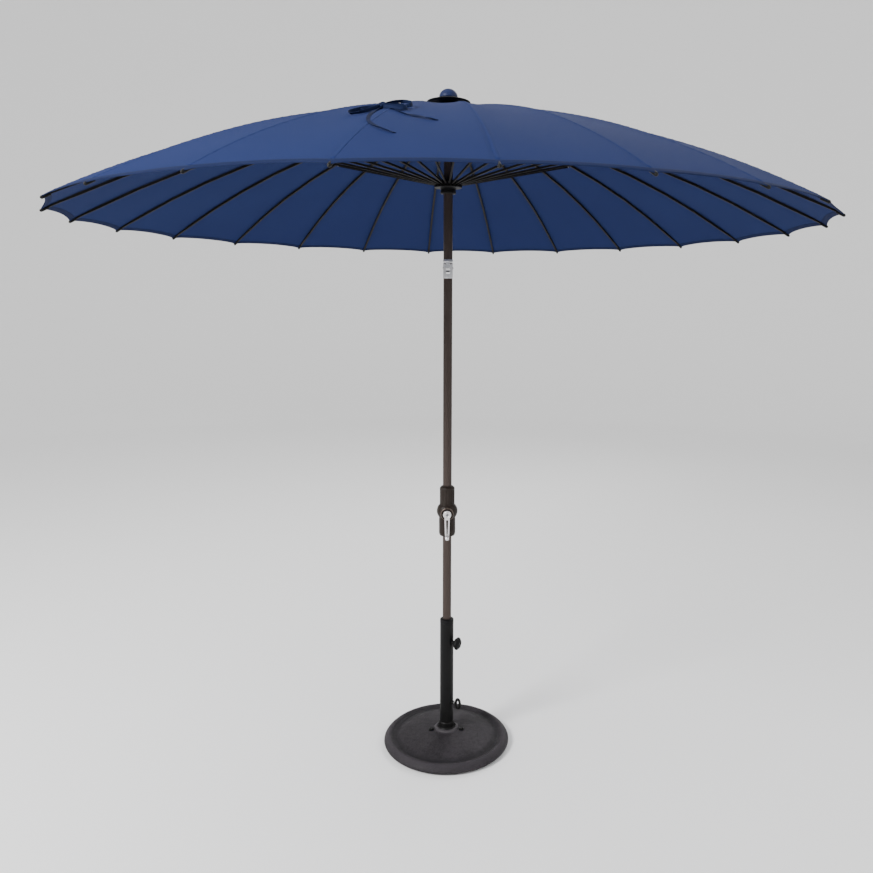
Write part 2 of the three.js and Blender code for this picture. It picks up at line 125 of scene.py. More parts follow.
# ---- mesh helpers ---------------------------------------------------------
def new_object(name, mesh, material):
    made = bpy.data.objects.new(name, mesh)
    bpy.context.scene.collection.objects.link(made)
    made.data.materials.append(material)
    return made


def shade(mesh, sharp_above=35):
    """Smooth faces, with hard edges where the surface turns sharply."""
    for polygon in mesh.polygons:
        polygon.use_smooth = True
    mesh.set_sharp_from_angle(angle=math.radians(sharp_above))


def build(name, points, faces, material, sharp_above=35):
    mesh = bpy.data.meshes.new(name)
    mesh.from_pydata([tuple(point) for point in points], [], faces)
    mesh.validate()
    shade(mesh, sharp_above)
    return new_object(name, mesh, material)


def outward(made):
    """Turns a closed piece's faces so that they point out."""
    shell = bmesh.new()
    shell.from_mesh(made.data)
    bmesh.ops.remove_doubles(shell, verts=shell.verts, dist=1e-6)
    bmesh.ops.recalc_face_normals(shell, faces=shell.faces)
    shell.to_mesh(made.data)
    shell.free()
    return made


def turned(name, profile, material, sides=72, radius_at=None, sharp_above=35):
    """Turns (radius, height) points about +Z; radius_at may shape the section."""
    points, rings = [], []
    for radius, height in profile:
        if radius < 1e-7:
            rings.append([len(points)])
            points.append((0, 0, height))
            continue
        ring = []
        for side in range(sides):
            angle = 2 * math.pi * side / sides
            reach = radius_at(radius, height, angle) if radius_at else radius
            ring.append(len(points))
            points.append((reach * math.cos(angle), reach * math.sin(angle), height))
        rings.append(ring)
    closed = profile[0][0] > 1e-7 and profile[-1][0] > 1e-7
    pairs = list(zip(rings, rings[1:])) + ([(rings[-1], rings[0])] if closed else [])
    faces = []
    for low, high in pairs:
        for side in range(sides):
            after = (side + 1) % sides
            if len(low) == 1 and len(high) == 1:
                continue
            if len(low) == 1:
                faces.append((low[0], high[after], high[side]))
            elif len(high) == 1:
                faces.append((low[side], low[after], high[0]))
            else:
                faces.append((low[side], low[after], high[after], high[side]))
    return outward(build(name, points, faces, material, sharp_above))


def arc(centre, radius, start, end, steps=6):
    """Profile points on a circle, angles in degrees."""
    made = []
    for step in range(steps + 1):
        angle = math.radians(start + (end - start) * step / steps)
        made.append((centre[0] + radius * math.cos(angle), centre[1] + radius * math.sin(angle)))
    return made


def prism(name, outline, depth, material):
    """A plate whose outline lies in x-z, centred on y = 0."""
    count = len(outline)
    points = [(x, side * depth / 2, z) for side in (-1, 1) for x, z in outline]
    faces = [tuple(range(count)), tuple(range(2 * count - 1, count - 1, -1))]
    for index in range(count):
        after = (index + 1) % count
        faces.append((index, count + index, count + after, after))
    return outward(build(name, points, faces, material))


def block(name, low, high, material):
    outline = [(low[0], low[2]), (high[0], low[2]), (high[0], high[2]), (low[0], high[2])]
    made = prism(name, outline, high[1] - low[1], material)
    made.data.transform(Matrix.Translation((0, (low[1] + high[1]) / 2, 0)))
    return made


def bevel(made, width, segments=2, angle=35):
    soft = made.modifiers.new("Soft edges", "BEVEL")
    soft.width = width
    soft.segments = segments
    soft.limit_method = "ANGLE"
    soft.angle_limit = math.radians(angle)
    made.modifiers.new("Even shading", "WEIGHTED_NORMAL")
    return made


def finished(made):
    """Applies a piece's modifiers."""
    graph = bpy.context.evaluated_depsgraph_get()
    mesh = bpy.data.meshes.new_from_object(made.evaluated_get(graph))
    made.modifiers.clear()
    made.data = mesh
    return made


def carve(made, tool, operation="DIFFERENCE"):
    """Cuts, joins or intersects a piece with a tool, which is then removed."""
    change = made.modifiers.new("Carve", "BOOLEAN")
    change.operation = operation
    change.solver = "EXACT"
    change.object = tool
    finished(made)
    bpy.data.objects.remove(tool)
    shade(made.data)
    return made


def merged(name, parts):
    """Several meshes as one piece, with the first one's material."""
    whole = bmesh.new()
    for part in parts:
        part.data.transform(part.matrix_world)
        whole.from_mesh(part.data)
    mesh = bpy.data.meshes.new(name)
    whole.to_mesh(mesh)
    whole.free()
    material = parts[0].data.materials[0]
    for part in parts:
        bpy.data.objects.remove(part)
    shade(mesh)
    return new_object(name, mesh, material)


def moved(made, matrix):
    made.data.transform(matrix)
    return made


def spun(angle, axis):
    return Matrix.Rotation(angle, 4, axis)


def stood(made, place, axis=None, turns=0.25):
    """Turns a piece about an axis by a share of a full turn, then carries it to place."""
    turn = spun(2 * math.pi * turns, axis) if axis else Matrix()
    return moved(made, Matrix.Translation(place) @ turn)


def rides(made, body, node=None):
    """Rides on a body, and stands in for a CAD node if one is named."""
    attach(made, body)
    if node:
        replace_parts(made, node)


def smooth_line(points, steps=8, closed=False):
    """A Catmull-Rom line through the points."""
    points = [Vector(point) for point in points]
    count = len(points)
    last = count if closed else count - 1
    line = []
    for index in range(last):
        if closed:
            a, b, c, d = (points[(index + shift) % count] for shift in (-1, 0, 1, 2))
        else:
            a = points[max(index - 1, 0)]
            b, c = points[index], points[index + 1]
            d = points[min(index + 2, count - 1)]
        for step in range(steps):
            t = step / steps
            line.append(0.5 * (2 * b + (c - a) * t + (2 * a - 5 * b + 4 * c - d) * t * t
                               + (3 * b - a - 3 * c + d) * t ** 3))
    if not closed:
        line.append(points[-1])
    return line


def tangent(line, index, closed=False):
    """The direction of a line of points at one of them."""
    before, after = index - 1, index + 1
    if closed:
        before, after = before % len(line), after % len(line)
    else:
        before, after = max(before, 0), min(after, len(line) - 1)
    return (line[after] - line[before]).normalized()


def ring_faces(count, sides, closed=False, capped=True):
    """Faces over a row of rings of points, whose ends join, are capped or stay open."""
    faces = []
    for ring in range(count if closed else count - 1):
        first, second = ring * sides, (ring + 1) % count * sides
        for step in range(sides):
            after = (step + 1) % sides
            faces.append((first + step, first + after, second + after, second + step))
    if capped and not closed:
        faces.append(tuple(range(sides - 1, -1, -1)))
        faces.append(tuple(range((count - 1) * sides, count * sides)))
    return faces


def grid_faces(rows, width):
    """Faces over rows of points, each width points long."""
    return [(first, first + width, first + width + 1, first + 1)
            for row in range(rows)
            for first in range(row * width, row * width + width - 1)]


def tube(name, line, radius, material, sides=12, closed=False, taper=None):
    """A round rod along a line of points."""
    points = []
    count = len(line)
    for index, centre in enumerate(line):
        along = tangent(line, index, closed)
        guide = Vector((0, 1, 0)) if abs(along.y) < 0.9 else Vector((1, 0, 0))
        side = along.cross(guide).normalized()
        rise = side.cross(along)
        reach = radius * (taper(index / (count - 1)) if taper else 1)
        for step in range(sides):
            angle = 2 * math.pi * step / sides
            points.append(centre + reach * (math.cos(angle) * side + math.sin(angle) * rise))
    return outward(build(name, points, ring_faces(count, sides, closed), material))


# ---- materials ------------------------------------------------------------
class Shader:
    """A procedural material: a base colour, broken up, with bump."""

    def __init__(self, name, color, roughness, metallic=0.0, shine=0.15):
        self.material = bpy.data.materials.new(name)
        self.material.use_nodes = True
        self.nodes = self.material.node_tree.nodes
        self.links = self.material.node_tree.links
        self.surface = self.nodes["Principled BSDF"]
        self.surface.inputs["Metallic"].default_value = metallic
        self.surface.inputs["Roughness"].default_value = roughness
        self.surface.inputs["Base Color"].default_value = (*color, 1)
        self.surface.inputs["Specular IOR Level"].default_value = shine
        self.color = color
        coordinates = self.nodes.new("ShaderNodeTexCoord")
        self.place = coordinates.outputs["Object"]
        self.sheet = coordinates.outputs["UV"]
        self.tint = None
        self.height = None

    def stretched(self, scale, place=None):
        mapping = self.nodes.new("ShaderNodeMapping")
        mapping.inputs["Scale"].default_value = scale
        self.links.new(place or self.place, mapping.inputs["Vector"])
        return mapping.outputs["Vector"]

    def grain(self, scale, detail=3.0, place=None, stretch=None):
        texture = self.nodes.new("ShaderNodeTexNoise")
        texture.inputs["Scale"].default_value = scale
        texture.inputs["Detail"].default_value = detail
        source = self.stretched(stretch, place) if stretch else (place or self.place)
        self.links.new(source, texture.inputs["Vector"])
        return texture.outputs["Fac"]

    def cells(self, scale, feature="F1"):
        texture = self.nodes.new("ShaderNodeTexVoronoi")
        texture.feature = feature
        texture.inputs["Scale"].default_value = scale
        self.links.new(self.place, texture.inputs["Vector"])
        return texture.outputs["Distance"]

    def from_axis(self, radius, reach):
        """1 on a circle about the object's axis, falling to 0 at reach from it."""
        split = self.nodes.new("ShaderNodeSeparateXYZ")
        self.links.new(self.place, split.inputs["Vector"])
        square = self.math("ADD", self.math("MULTIPLY", split.outputs["X"], split.outputs["X"]),
                           self.math("MULTIPLY", split.outputs["Y"], split.outputs["Y"]))
        away = self.math("ABSOLUTE", self.math("SUBTRACT", self.math("SQRT", square, 0), radius), 0)
        return self.math("SUBTRACT", 1.0, self.math("DIVIDE", away, reach))

    def ramp(self, value, low, high):
        """Spreads the share of value between low and high over 0 to 1."""
        node = self.nodes.new("ShaderNodeMapRange")
        node.inputs["From Min"].default_value = low
        node.inputs["From Max"].default_value = high
        self.links.new(value, node.inputs["Value"])
        return node.outputs["Result"]

    def math(self, operation, first, second):
        node = self.nodes.new("ShaderNodeMath")
        node.operation = operation
        for socket, value in zip(node.inputs, (first, second)):
            if isinstance(value, (int, float)):
                socket.default_value = value
            else:
                self.links.new(value, socket)
        return node.outputs["Value"]

    def paint(self, value, color, low=0.4, high=0.7, strength=1.0):
        """Mixes another colour in where value is high."""
        share = self.math("MULTIPLY", self.ramp(value, low, high), strength)
        mix = self.nodes.new("ShaderNodeMix")
        mix.data_type = "RGBA"
        self.links.new(share, mix.inputs["Factor"])
        if self.tint is None:
            mix.inputs["A"].default_value = (*self.color, 1)
        else:
            self.links.new(self.tint, mix.inputs["A"])
        mix.inputs["B"].default_value = (*color, 1)
        self.tint = mix.outputs["Result"]
        self.links.new(self.tint, self.surface.inputs["Base Color"])
        return self

    def worn_gloss(self, value, low, high):
        """Roughness that goes from low to high with value."""
        node = self.nodes.new("ShaderNodeMapRange")
        node.inputs["To Min"].default_value = low
        node.inputs["To Max"].default_value = high
        self.links.new(value, node.inputs["Value"])
        self.links.new(node.outputs["Result"], self.surface.inputs["Roughness"])
        return self

    def bump(self, value, distance, strength=0.6):
        node = self.nodes.new("ShaderNodeBump")
        node.inputs["Distance"].default_value = distance
        node.inputs["Strength"].default_value = strength
        self.links.new(value, node.inputs["Height"])
        if self.height is not None:
            self.links.new(self.height, node.inputs["Normal"])
        self.height = node.outputs["Normal"]
        self.links.new(self.height, self.surface.inputs["Normal"])
        return self

    def edge_wear(self, color, strength=0.5):
        """Lighter paint where the surface turns outwards."""
        shape = self.nodes.new("ShaderNodeNewGeometry")
        return self.paint(shape.outputs["Pointiness"], color, 0.53, 0.62, strength)


def weave_height(shader, pitch):
    """A plain weave: threads that pass over and under each other."""
    split = shader.nodes.new("ShaderNodeSeparateXYZ")
    shader.links.new(shader.sheet, split.inputs["Vector"])
    turns = math.pi / pitch
    across = shader.math("SINE", shader.math("MULTIPLY", split.outputs["X"], turns), 0)
    along = shader.math("SINE", shader.math("MULTIPLY", split.outputs["Y"], turns), 0)
    return shader.math("MULTIPLY", across, along)


def fabric_material(name, color, light, dark, pitch=0.0011):
    shader = Shader(name, color, 0.92, 0, 0.08)
    shader.paint(shader.grain(2.2, 2), light, 0.35, 0.75, 0.5)
    shader.paint(shader.grain(60, 4, shader.sheet, (9, 1, 1)), dark, 0.45, 0.8, 0.35)
    shader.paint(shader.grain(60, 4, shader.sheet, (1, 9, 1)), light, 0.5, 0.85, 0.35)
    weave = weave_height(shader, pitch)
    shader.paint(weave, dark, -0.2, 1.0, 0.22)
    return shader.bump(weave, 0.0003, 0.5).material


def plastic_material(name, color, roughness, grain=900):
    shader = Shader(name, color, roughness)
    lighter = tuple(min(1, channel * 1.5 + 0.01) for channel in color)
    darker = tuple(channel * 0.6 for channel in color)
    shader.paint(shader.grain(14, 3), lighter, 0.5, 0.8, 0.4)
    shader.paint(shader.grain(90, 3), darker, 0.5, 0.8, 0.4)
    shader.edge_wear(lighter, 0.5)
    shader.worn_gloss(shader.grain(40, 4), roughness - 0.08, roughness + 0.12)
    return shader.bump(shader.grain(grain, 2), 0.0002, 0.35).material


def coated_metal(name, color, roughness, metallic=0.0, orange_peel=420, wear=None):
    """A powder coat: fine orange peel, slight mottling and rubbed edges."""
    shader = Shader(name, color, roughness, metallic)
    lighter = tuple(min(1, channel * 1.35 + 0.005) for channel in color)
    darker = tuple(channel * 0.7 for channel in color)
    shader.paint(shader.grain(7, 3, None, (1, 1, 0.25)), lighter, 0.45, 0.75, 0.5)
    shader.paint(shader.grain(160, 2), darker, 0.5, 0.75, 0.35)
    shader.edge_wear(wear or lighter, 0.5)
    shader.worn_gloss(shader.grain(25, 4), roughness - 0.07, roughness + 0.1)
    return shader.bump(shader.grain(orange_peel, 2), 0.00025, 0.3).material


def bare_metal(name, color, roughness, brushed=(1, 1, 60)):
    """A die casting or a turned screw: fine scratches, darker in the pits."""
    shader = Shader(name, color, roughness, 0.95)
    darker = tuple(channel * 0.55 for channel in color)
    shader.paint(shader.grain(30, 4), darker, 0.5, 0.8, 0.45)
    shader.paint(shader.grain(20, 3, None, brushed), darker, 0.5, 0.8, 0.3)
    shader.worn_gloss(shader.grain(35, 4, None, brushed), roughness - 0.08, roughness + 0.15)
    return shader.bump(shader.grain(30, 3, None, brushed), 0.0002, 0.25).material


def stone_material(name, color, light, dark):
    """Cast resin stone with a hammered, mottled coat, painted lighter as highlight on the hub's edge and
    the rim's crest, and painted darker as shade in the rim's groove.
    """
    shader = Shader(name, color, 0.7, 0, 0.15)
    shader.paint(shader.grain(9, 5), light, 0.45, 0.75, 0.75)
    shader.paint(shader.grain(55, 4), dark, 0.48, 0.72, 0.7)
    shader.paint(shader.cells(170), light, 0.35, 0.75, 0.4)
    # Painted highlight on the hub's edge and on the rim's crest, and painted shade in the rim's groove.
    shader.paint(shader.from_axis(BASE_HUB_EDGE, 0.008), light, 0, 1, 0.8)
    shader.paint(shader.from_axis(BASE_RIM_CREST, 0.022), light, 0, 1, 0.8)
    shader.paint(shader.from_axis(BASE_RIM_GROOVE, 0.026), dark, 0, 1, 0.75)
    shader.edge_wear(light, 0.6)
    shader.worn_gloss(shader.grain(45, 4), 0.5, 0.75)
    shader.bump(shader.cells(150, "SMOOTH_F1"), 0.0011, 0.55)
    return shader.bump(shader.grain(420, 3), 0.0005, 0.4).material


CANOPY_BLUE = (0.0124, 0.0217, 0.0816)
CANOPY_LIGHT = (0.0155, 0.0264, 0.0949)
CANOPY_DARK = (0.0094, 0.0166, 0.0653)
fabric = fabric_material("canopy fabric", CANOPY_BLUE, CANOPY_LIGHT, CANOPY_DARK)
binding = fabric_material("hem binding", (0.008, 0.013, 0.046), (0.011, 0.018, 0.056),
                          (0.005, 0.008, 0.03), 0.0009)
ribbon_cloth = fabric_material("tie ribbon", (0.005, 0.009, 0.033), (0.008, 0.014, 0.046),
                               (0.0025, 0.005, 0.02), 0.0009)
thread = fabric_material("thread", (0.016, 0.03, 0.1), (0.02, 0.036, 0.12),
                         (0.01, 0.02, 0.075), 0.0004)
dome_plastic = plastic_material("finial dome", (0.0075, 0.0135, 0.054), 0.46)
black_plastic = plastic_material("black nylon", (0.002, 0.002, 0.0023), 0.5)
bronze_plastic = plastic_material("bronze plastic", (0.015, 0.0105, 0.008), 0.42)
# A lighter copy of the bronze, as painted highlight, for the ring round the crank's boss.
highlight_bronze = coated_metal("bronze with painted highlight", (0.085, 0.066, 0.055), 0.34, 0.7)
bronze = coated_metal("bronze coat", (0.046, 0.034, 0.03), 0.34, 0.55, 420,
                      (0.07, 0.056, 0.05))
rib_metal = coated_metal("rib coat", (0.0075, 0.0064, 0.0062), 0.6, 0.15, 520,
                         (0.011, 0.009, 0.008))
black_steel = coated_metal("black coat", (0.0018, 0.0018, 0.0018), 0.45, 0, 380,
                           (0.004, 0.004, 0.004))
casting = bare_metal("tilt casting", (0.56, 0.56, 0.57), 0.34)
dark_casting = bare_metal("dark casting", (0.25, 0.25, 0.26), 0.42)
# Darker metal for the floor of the trench in the crank's arm: painted shade.
shaded_groove_metal = bare_metal("crank groove painted shade", (0.06, 0.055, 0.052), 0.5)
polished = bare_metal("crank casting", (0.72, 0.7, 0.7), 0.24)
zinc = bare_metal("zinc screw", (0.5, 0.5, 0.5), 0.35)
resin_stone = stone_material("resin stone", (0.0165, 0.0144, 0.0164), (0.033, 0.029, 0.0333),
                             (0.0083, 0.0074, 0.0088))
# A lighter copy of the resin stone, as painted highlight, for the lip round the tube's foot.
lit_stone = stone_material("stone with painted highlight", (0.03, 0.027, 0.03), (0.048, 0.044, 0.048),
                           (0.015, 0.0135, 0.015))


# ---- canopy ---------------------------------------------------------------
def canopy_profile(share):
    """Height of the fabric over a rib at a share of the canopy's radius."""
    return CANOPY_TOP - CANOPY_DROP * (share ** CANOPY_CURVE + share) / 2


def rib_azimuth(name):
    x, y, _ = joints[f"{name}_fold"]["pos_m"]
    return math.atan2(y, x)


def between_ribs(azimuth):
    """0 on a rib and 1 in the middle of a gore, level there."""
    turn = (azimuth - rib_azimuth(RIBS[0])) / (2 * HALF_GORE)
    from_rib = abs(turn - round(turn)) * 2
    return from_rib * (2 - from_rib), from_rib


def canopy_point(share, azimuth):
    """A point of the fabric's outer face."""
    slack, from_rib = between_ribs(azimuth)
    flat = math.cos(HALF_GORE) / math.cos(HALF_GORE * (1 - from_rib))
    cut = share * (1 - HEM_SCALLOP / CANOPY_RADIUS * share ** 6 * slack)
    radius = cut * CANOPY_RADIUS * flat
    x, y = radius * math.cos(azimuth), radius * math.sin(azimuth)
    ripple = RIPPLE_HEIGHT * noise.noise(Vector((x * 3.5, y * 3.5, 0.3)))
    pucker = PUCKER_HEIGHT * math.sin(share * 260) * math.exp(-from_rib * radius * 5)
    sag = FABRIC_SAG * math.sin(math.pi * min(1, share * 1.05)) * slack
    corner = CORNER_DROP * max(0, (share - 0.985) / 0.015) * (1 - slack) ** 6
    height = canopy_profile(cut) - sag - corner + (ripple + pucker) * min(1, 8 * share)
    return Vector((x, y, height))


def share_at(radius, azimuth):
    """The share of canopy_point at a distance from the pole's axis."""
    slack, from_rib = between_ribs(azimuth)
    flat = math.cos(HALF_GORE) / math.cos(HALF_GORE * (1 - from_rib))
    share = radius / CANOPY_RADIUS
    for _ in range(4):
        hem = 1 - HEM_SCALLOP / CANOPY_RADIUS * share ** 6 * slack
        share = radius / (CANOPY_RADIUS * flat * hem)
    return share


def canopy_normal(share, azimuth):
    step = 1e-3
    along = canopy_point(share + step, azimuth) - canopy_point(share - step, azimuth)
    around = canopy_point(share, azimuth + step) - canopy_point(share, azimuth - step)
    return along.cross(around).normalized()


def above_canopy(x, y, lift):
    """The point over (x, y) that stands lift off the fabric."""
    azimuth = math.atan2(y, x)
    share = share_at(math.hypot(x, y), azimuth)
    return canopy_point(share, azimuth) + lift * canopy_normal(share, azimuth)


def folds_with(piece, rib):
    """Rides on a rib, with a mesh of its own."""
    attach(piece, rib)
    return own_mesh(piece)


def gore(rib, rows=72, columns=20):
    """The fabric from the middle of one gore to the middle of the next."""
    azimuth = rib_azimuth(rib)
    points, sheet_places = [], []
    lowest = CANOPY_HOLE / CANOPY_RADIUS
    for row in range(rows + 1):
        share = lowest + (1 - lowest) * row / rows
        for column in range(columns + 1):
            turn = HALF_GORE * (2 * column / columns - 1)
            point = canopy_point(share, azimuth + turn)
            points.append(point)
            reach = math.hypot(point.x, point.y)
            side = math.copysign(HALF_GORE, turn)
            sheet_places.append((reach * math.sin(turn - side), reach * math.cos(turn - side)))
    made = build(f"canopy_{rib}", points, grid_faces(rows, columns + 1), fabric, 60)
    layer = made.data.uv_layers.new(name="cloth")
    for loop in made.data.loops:
        layer.data[loop.index].uv = sheet_places[loop.vertex_index]
    thick = made.modifiers.new("Thickness", "SOLIDIFY")
    thick.thickness = FABRIC_THICKNESS
    thick.offset = -1
    finished(made)
    shade(made.data, 60)
    folds_with(made, rib)
    length = sum((canopy_point((k + 1) / 40, azimuth) - canopy_point(k / 40, azimuth)).length
                 for k in range(40))
    width = 2 * CANOPY_RADIUS * math.sin(HALF_GORE)
    return made, width, length


def hem(rib, columns=20):
    """The folded binding along the gore's edge."""
    azimuth = rib_azimuth(rib)
    section = 10
    points = []
    for column in range(columns + 1):
        turn = azimuth + HALF_GORE * (2 * column / columns - 1)
        edge = canopy_point(1, turn)
        inner = canopy_point(1 - HEM_WIDTH / CANOPY_RADIUS, turn)
        normal = canopy_normal(0.999, turn)
        middle = (edge + inner) / 2 - normal * FABRIC_THICKNESS / 2
        reach = (edge - inner) / 2 * 1.06
        for step in range(section):
            angle = 2 * math.pi * step / section
            across = math.copysign(abs(math.cos(angle)) ** 0.5, math.cos(angle))
            rise = math.copysign(abs(math.sin(angle)) ** 0.6, math.sin(angle))
            points.append(middle + reach * across + normal * HEM_HALF_THICKNESS * rise)
    faces = ring_faces(columns + 1, section)
    made = outward(build(f"hem_{rib}", points, faces, binding, 50))
    return folds_with(made, rib)


def stitch(points, faces, start, end, normal):
    """One thread between two needle holes, as a slim pointed rod."""
    along = (end - start).normalized()
    side = along.cross(normal).normalized() * STITCH_RADIUS * 1.3
    rise = normal * STITCH_RADIUS
    first = len(points)
    middle = (start + end) / 2
    points.extend([start - rise, middle + side, middle + rise, middle - side, middle - rise,
                   end - rise])
    for a, b in ((1, 2), (2, 3), (3, 4), (4, 1)):
        faces.append((first, first + b, first + a))
        faces.append((first + 5, first + a, first + b))


def seam(rib, rows=90):
    """The felled seam over a rib, with its two rows of stitches."""
    azimuth = rib_azimuth(rib)
    around = Vector((-math.sin(azimuth), math.cos(azimuth), 0))
    start, end = SEAM_START, 1 - HEM_WIDTH / CANOPY_RADIUS
    offsets = (-1, -0.92, -0.5, 0, 0.5, 0.92, 1)
    lifts = (-0.0006, 0.0002, 0.0005, 0.0006, 0.0005, 0.0002, -0.0006)
    points = []
    for row in range(rows + 1):
        share = start + (end - start) * row / rows
        radius = share * CANOPY_RADIUS
        for offset, lift in zip(offsets, lifts):
            turn = math.atan2(offset * SEAM_HALF_WIDTH, radius)
            points.append(canopy_point(share_at(radius, azimuth + turn), azimuth + turn)
                          + Vector((0, 0, lift)))
    made = build(f"seam_{rib}", points, grid_faces(rows, len(offsets)), fabric, 70)
    thick = made.modifiers.new("Thickness", "SOLIDIFY")
    thick.thickness = 0.0008
    finished(made)
    thread_points, thread_faces = [], []
    count = int((end - start) * CANOPY_RADIUS / STITCH_PITCH)
    for row in range(count):
        share = start + (end - start) * (row + 0.3) / count
        share_end = share + STITCH_LENGTH / CANOPY_RADIUS
        normal = canopy_normal(share, azimuth)
        for side in (-1, 1):
            shift = around * side * SEAM_HALF_WIDTH * 0.7
            lift = Vector((0, 0, 0.0006))
            ends = [canopy_point(place, azimuth) + shift + lift for place in (share, share_end)]
            stitch(thread_points, thread_faces, *ends, normal)
    threads = build(f"stitches_{rib}", thread_points, thread_faces, thread, 60)
    return folds_with(made, rib), folds_with(threads, rib)


def hem_stitches(rib):
    """Threads along the hem, on both faces of the binding."""
    azimuth = rib_azimuth(rib)
    points, faces = [], []
    arc_length = 2 * CANOPY_RADIUS * math.sin(HALF_GORE)
    count = int(arc_length / STITCH_PITCH)
    place = 1 - 0.78 * HEM_WIDTH / CANOPY_RADIUS
    for step in range(count):
        turn = azimuth + HALF_GORE * (2 * (step + 0.2) / count - 1)
        turn_end = turn + STITCH_LENGTH / CANOPY_RADIUS
        normal = canopy_normal(place, turn)
        for lift in (HEM_HALF_THICKNESS - FABRIC_THICKNESS / 2 + 0.0001,
                     -HEM_HALF_THICKNESS - FABRIC_THICKNESS / 2 - 0.0001):
            ends = [canopy_point(place, angle) + normal * lift for angle in (turn, turn_end)]
            stitch(points, faces, *ends, normal * math.copysign(1, lift))
    made = build(f"hem_stitches_{rib}", points, faces, thread, 60)
    return folds_with(made, rib)


def rib_cap(rib):
    """The plastic cap on a rib's end, which the hem's pocket slips over."""
    azimuth = rib_azimuth(rib)
    start, end = RIB_END - 0.022, CANOPY_RADIUS + 0.004
    line, sizes = [], []
    for step in range(13):
        share = step / 12
        radius = start + (end - start) * share
        line.append(Vector((radius, 0, canopy_profile(radius / CANOPY_RADIUS) - RIB_END_DROP)))
        sizes.append(math.sqrt(max(0.02, 1 - max(0, (share - 0.8) / 0.2) ** 2)))
    made = tube(f"cap_{rib}", line, RIB_CAP_RADIUS, black_plastic, 16, taper=lambda t: sizes[round(t * 12)])
    rides(moved(made, spun(azimuth, "Z")), rib)
    return made


def ribs_and_struts():
    """The CAD rods keep their shape and get softened edges and a coat."""
    for name, node in frame["nodes"].items():
        if not name.startswith(("rib_", "strut_")):
            continue
        node.data.materials.clear()
        node.data.materials.append(rib_metal)
        shade(node.data, 30)
        node.modifiers.new("Weld", "WELD").merge_threshold = 1e-5
        bevel(node, 0.0016, 3, 40)


def joint_rivets(rib):
    """The rivet through a strut's fork and the rib's tab."""
    strut = rib.replace("rib", "strut")
    pivot = Vector(joints[f"{strut}_fold"]["pos_m"])
    azimuth = rib_azimuth(rib)
    half = 0.0049
    profile = [(0, -half), (0.0022, -half + 0.0002), (0.0029, -half + 0.0008),
               (0.0029, -half + 0.0013), (0.0016, -half + 0.0015)]
    profile += [(radius, -height) for radius, height in reversed(profile)]
    made = turned(f"rivet_{rib}", profile, zinc, 20)
    stand = Matrix.Translation(pivot) @ spun(azimuth, "Z") @ spun(math.pi / 2, "X")
    rides(moved(made, stand), strut)


def hub_wires():
    """The wire rings that the ribs' and struts' ends turn on."""
    x, y, crown_height = joints[f"{RIBS[0]}_fold"]["pos_m"]
    runner_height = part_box("runner")[1][2] - 0.014
    radius = math.hypot(x, y)
    for name, body, height in (("crown_wire", "top", crown_height),
                               ("runner_wire", "runner", runner_height)):
        line = [Vector((radius * math.cos(angle), radius * math.sin(angle), height))
                for angle in (2 * math.pi * step / 144 for step in range(144))]
        rides(tube(name, line, HUB_WIRE_RADIUS, zinc, 8, closed=True), body)


def ribbon(name, places, tilt, twist, closed=False):
    """A strap along points given as (right, outward, lift) from the knot.

    It stands on edge at tilt 0 and lies flat at a quarter turn, and twist rocks
    it to and fro along its length.
    """
    knot_x, knot_y = BOW_KNOT
    stand = BOW_WIDTH / 2 * abs(math.cos(tilt)) + BOW_THICKNESS
    line = smooth_line([above_canopy(knot_x + right, knot_y - out, lift + stand)
                        for right, out, lift in places], 10, closed)
    points = []
    count = len(line)
    for index, centre in enumerate(line):
        along = tangent(line, index, closed)
        azimuth = math.atan2(centre.y, centre.x)
        normal = canopy_normal(share_at(math.hypot(centre.x, centre.y), azimuth), azimuth)
        lean = tilt + twist * math.sin(4 * math.pi * index / count)
        rise = (Matrix.Rotation(lean, 3, along) @ normal).normalized()
        side = along.cross(rise).normalized()
        for across, up in ((-1, -1), (-1.15, 0), (-1, 1), (1, 1), (1.15, 0), (1, -1)):
            points.append(centre + side * across * BOW_THICKNESS / 2 + rise * up * BOW_WIDTH / 2)
    faces = ring_faces(count, len(points) // count, closed)
    made = outward(build(name, points, faces, ribbon_cloth, 50))
    length = sum((b - a).length for a, b in zip(line, line[1:]))
    return made, length


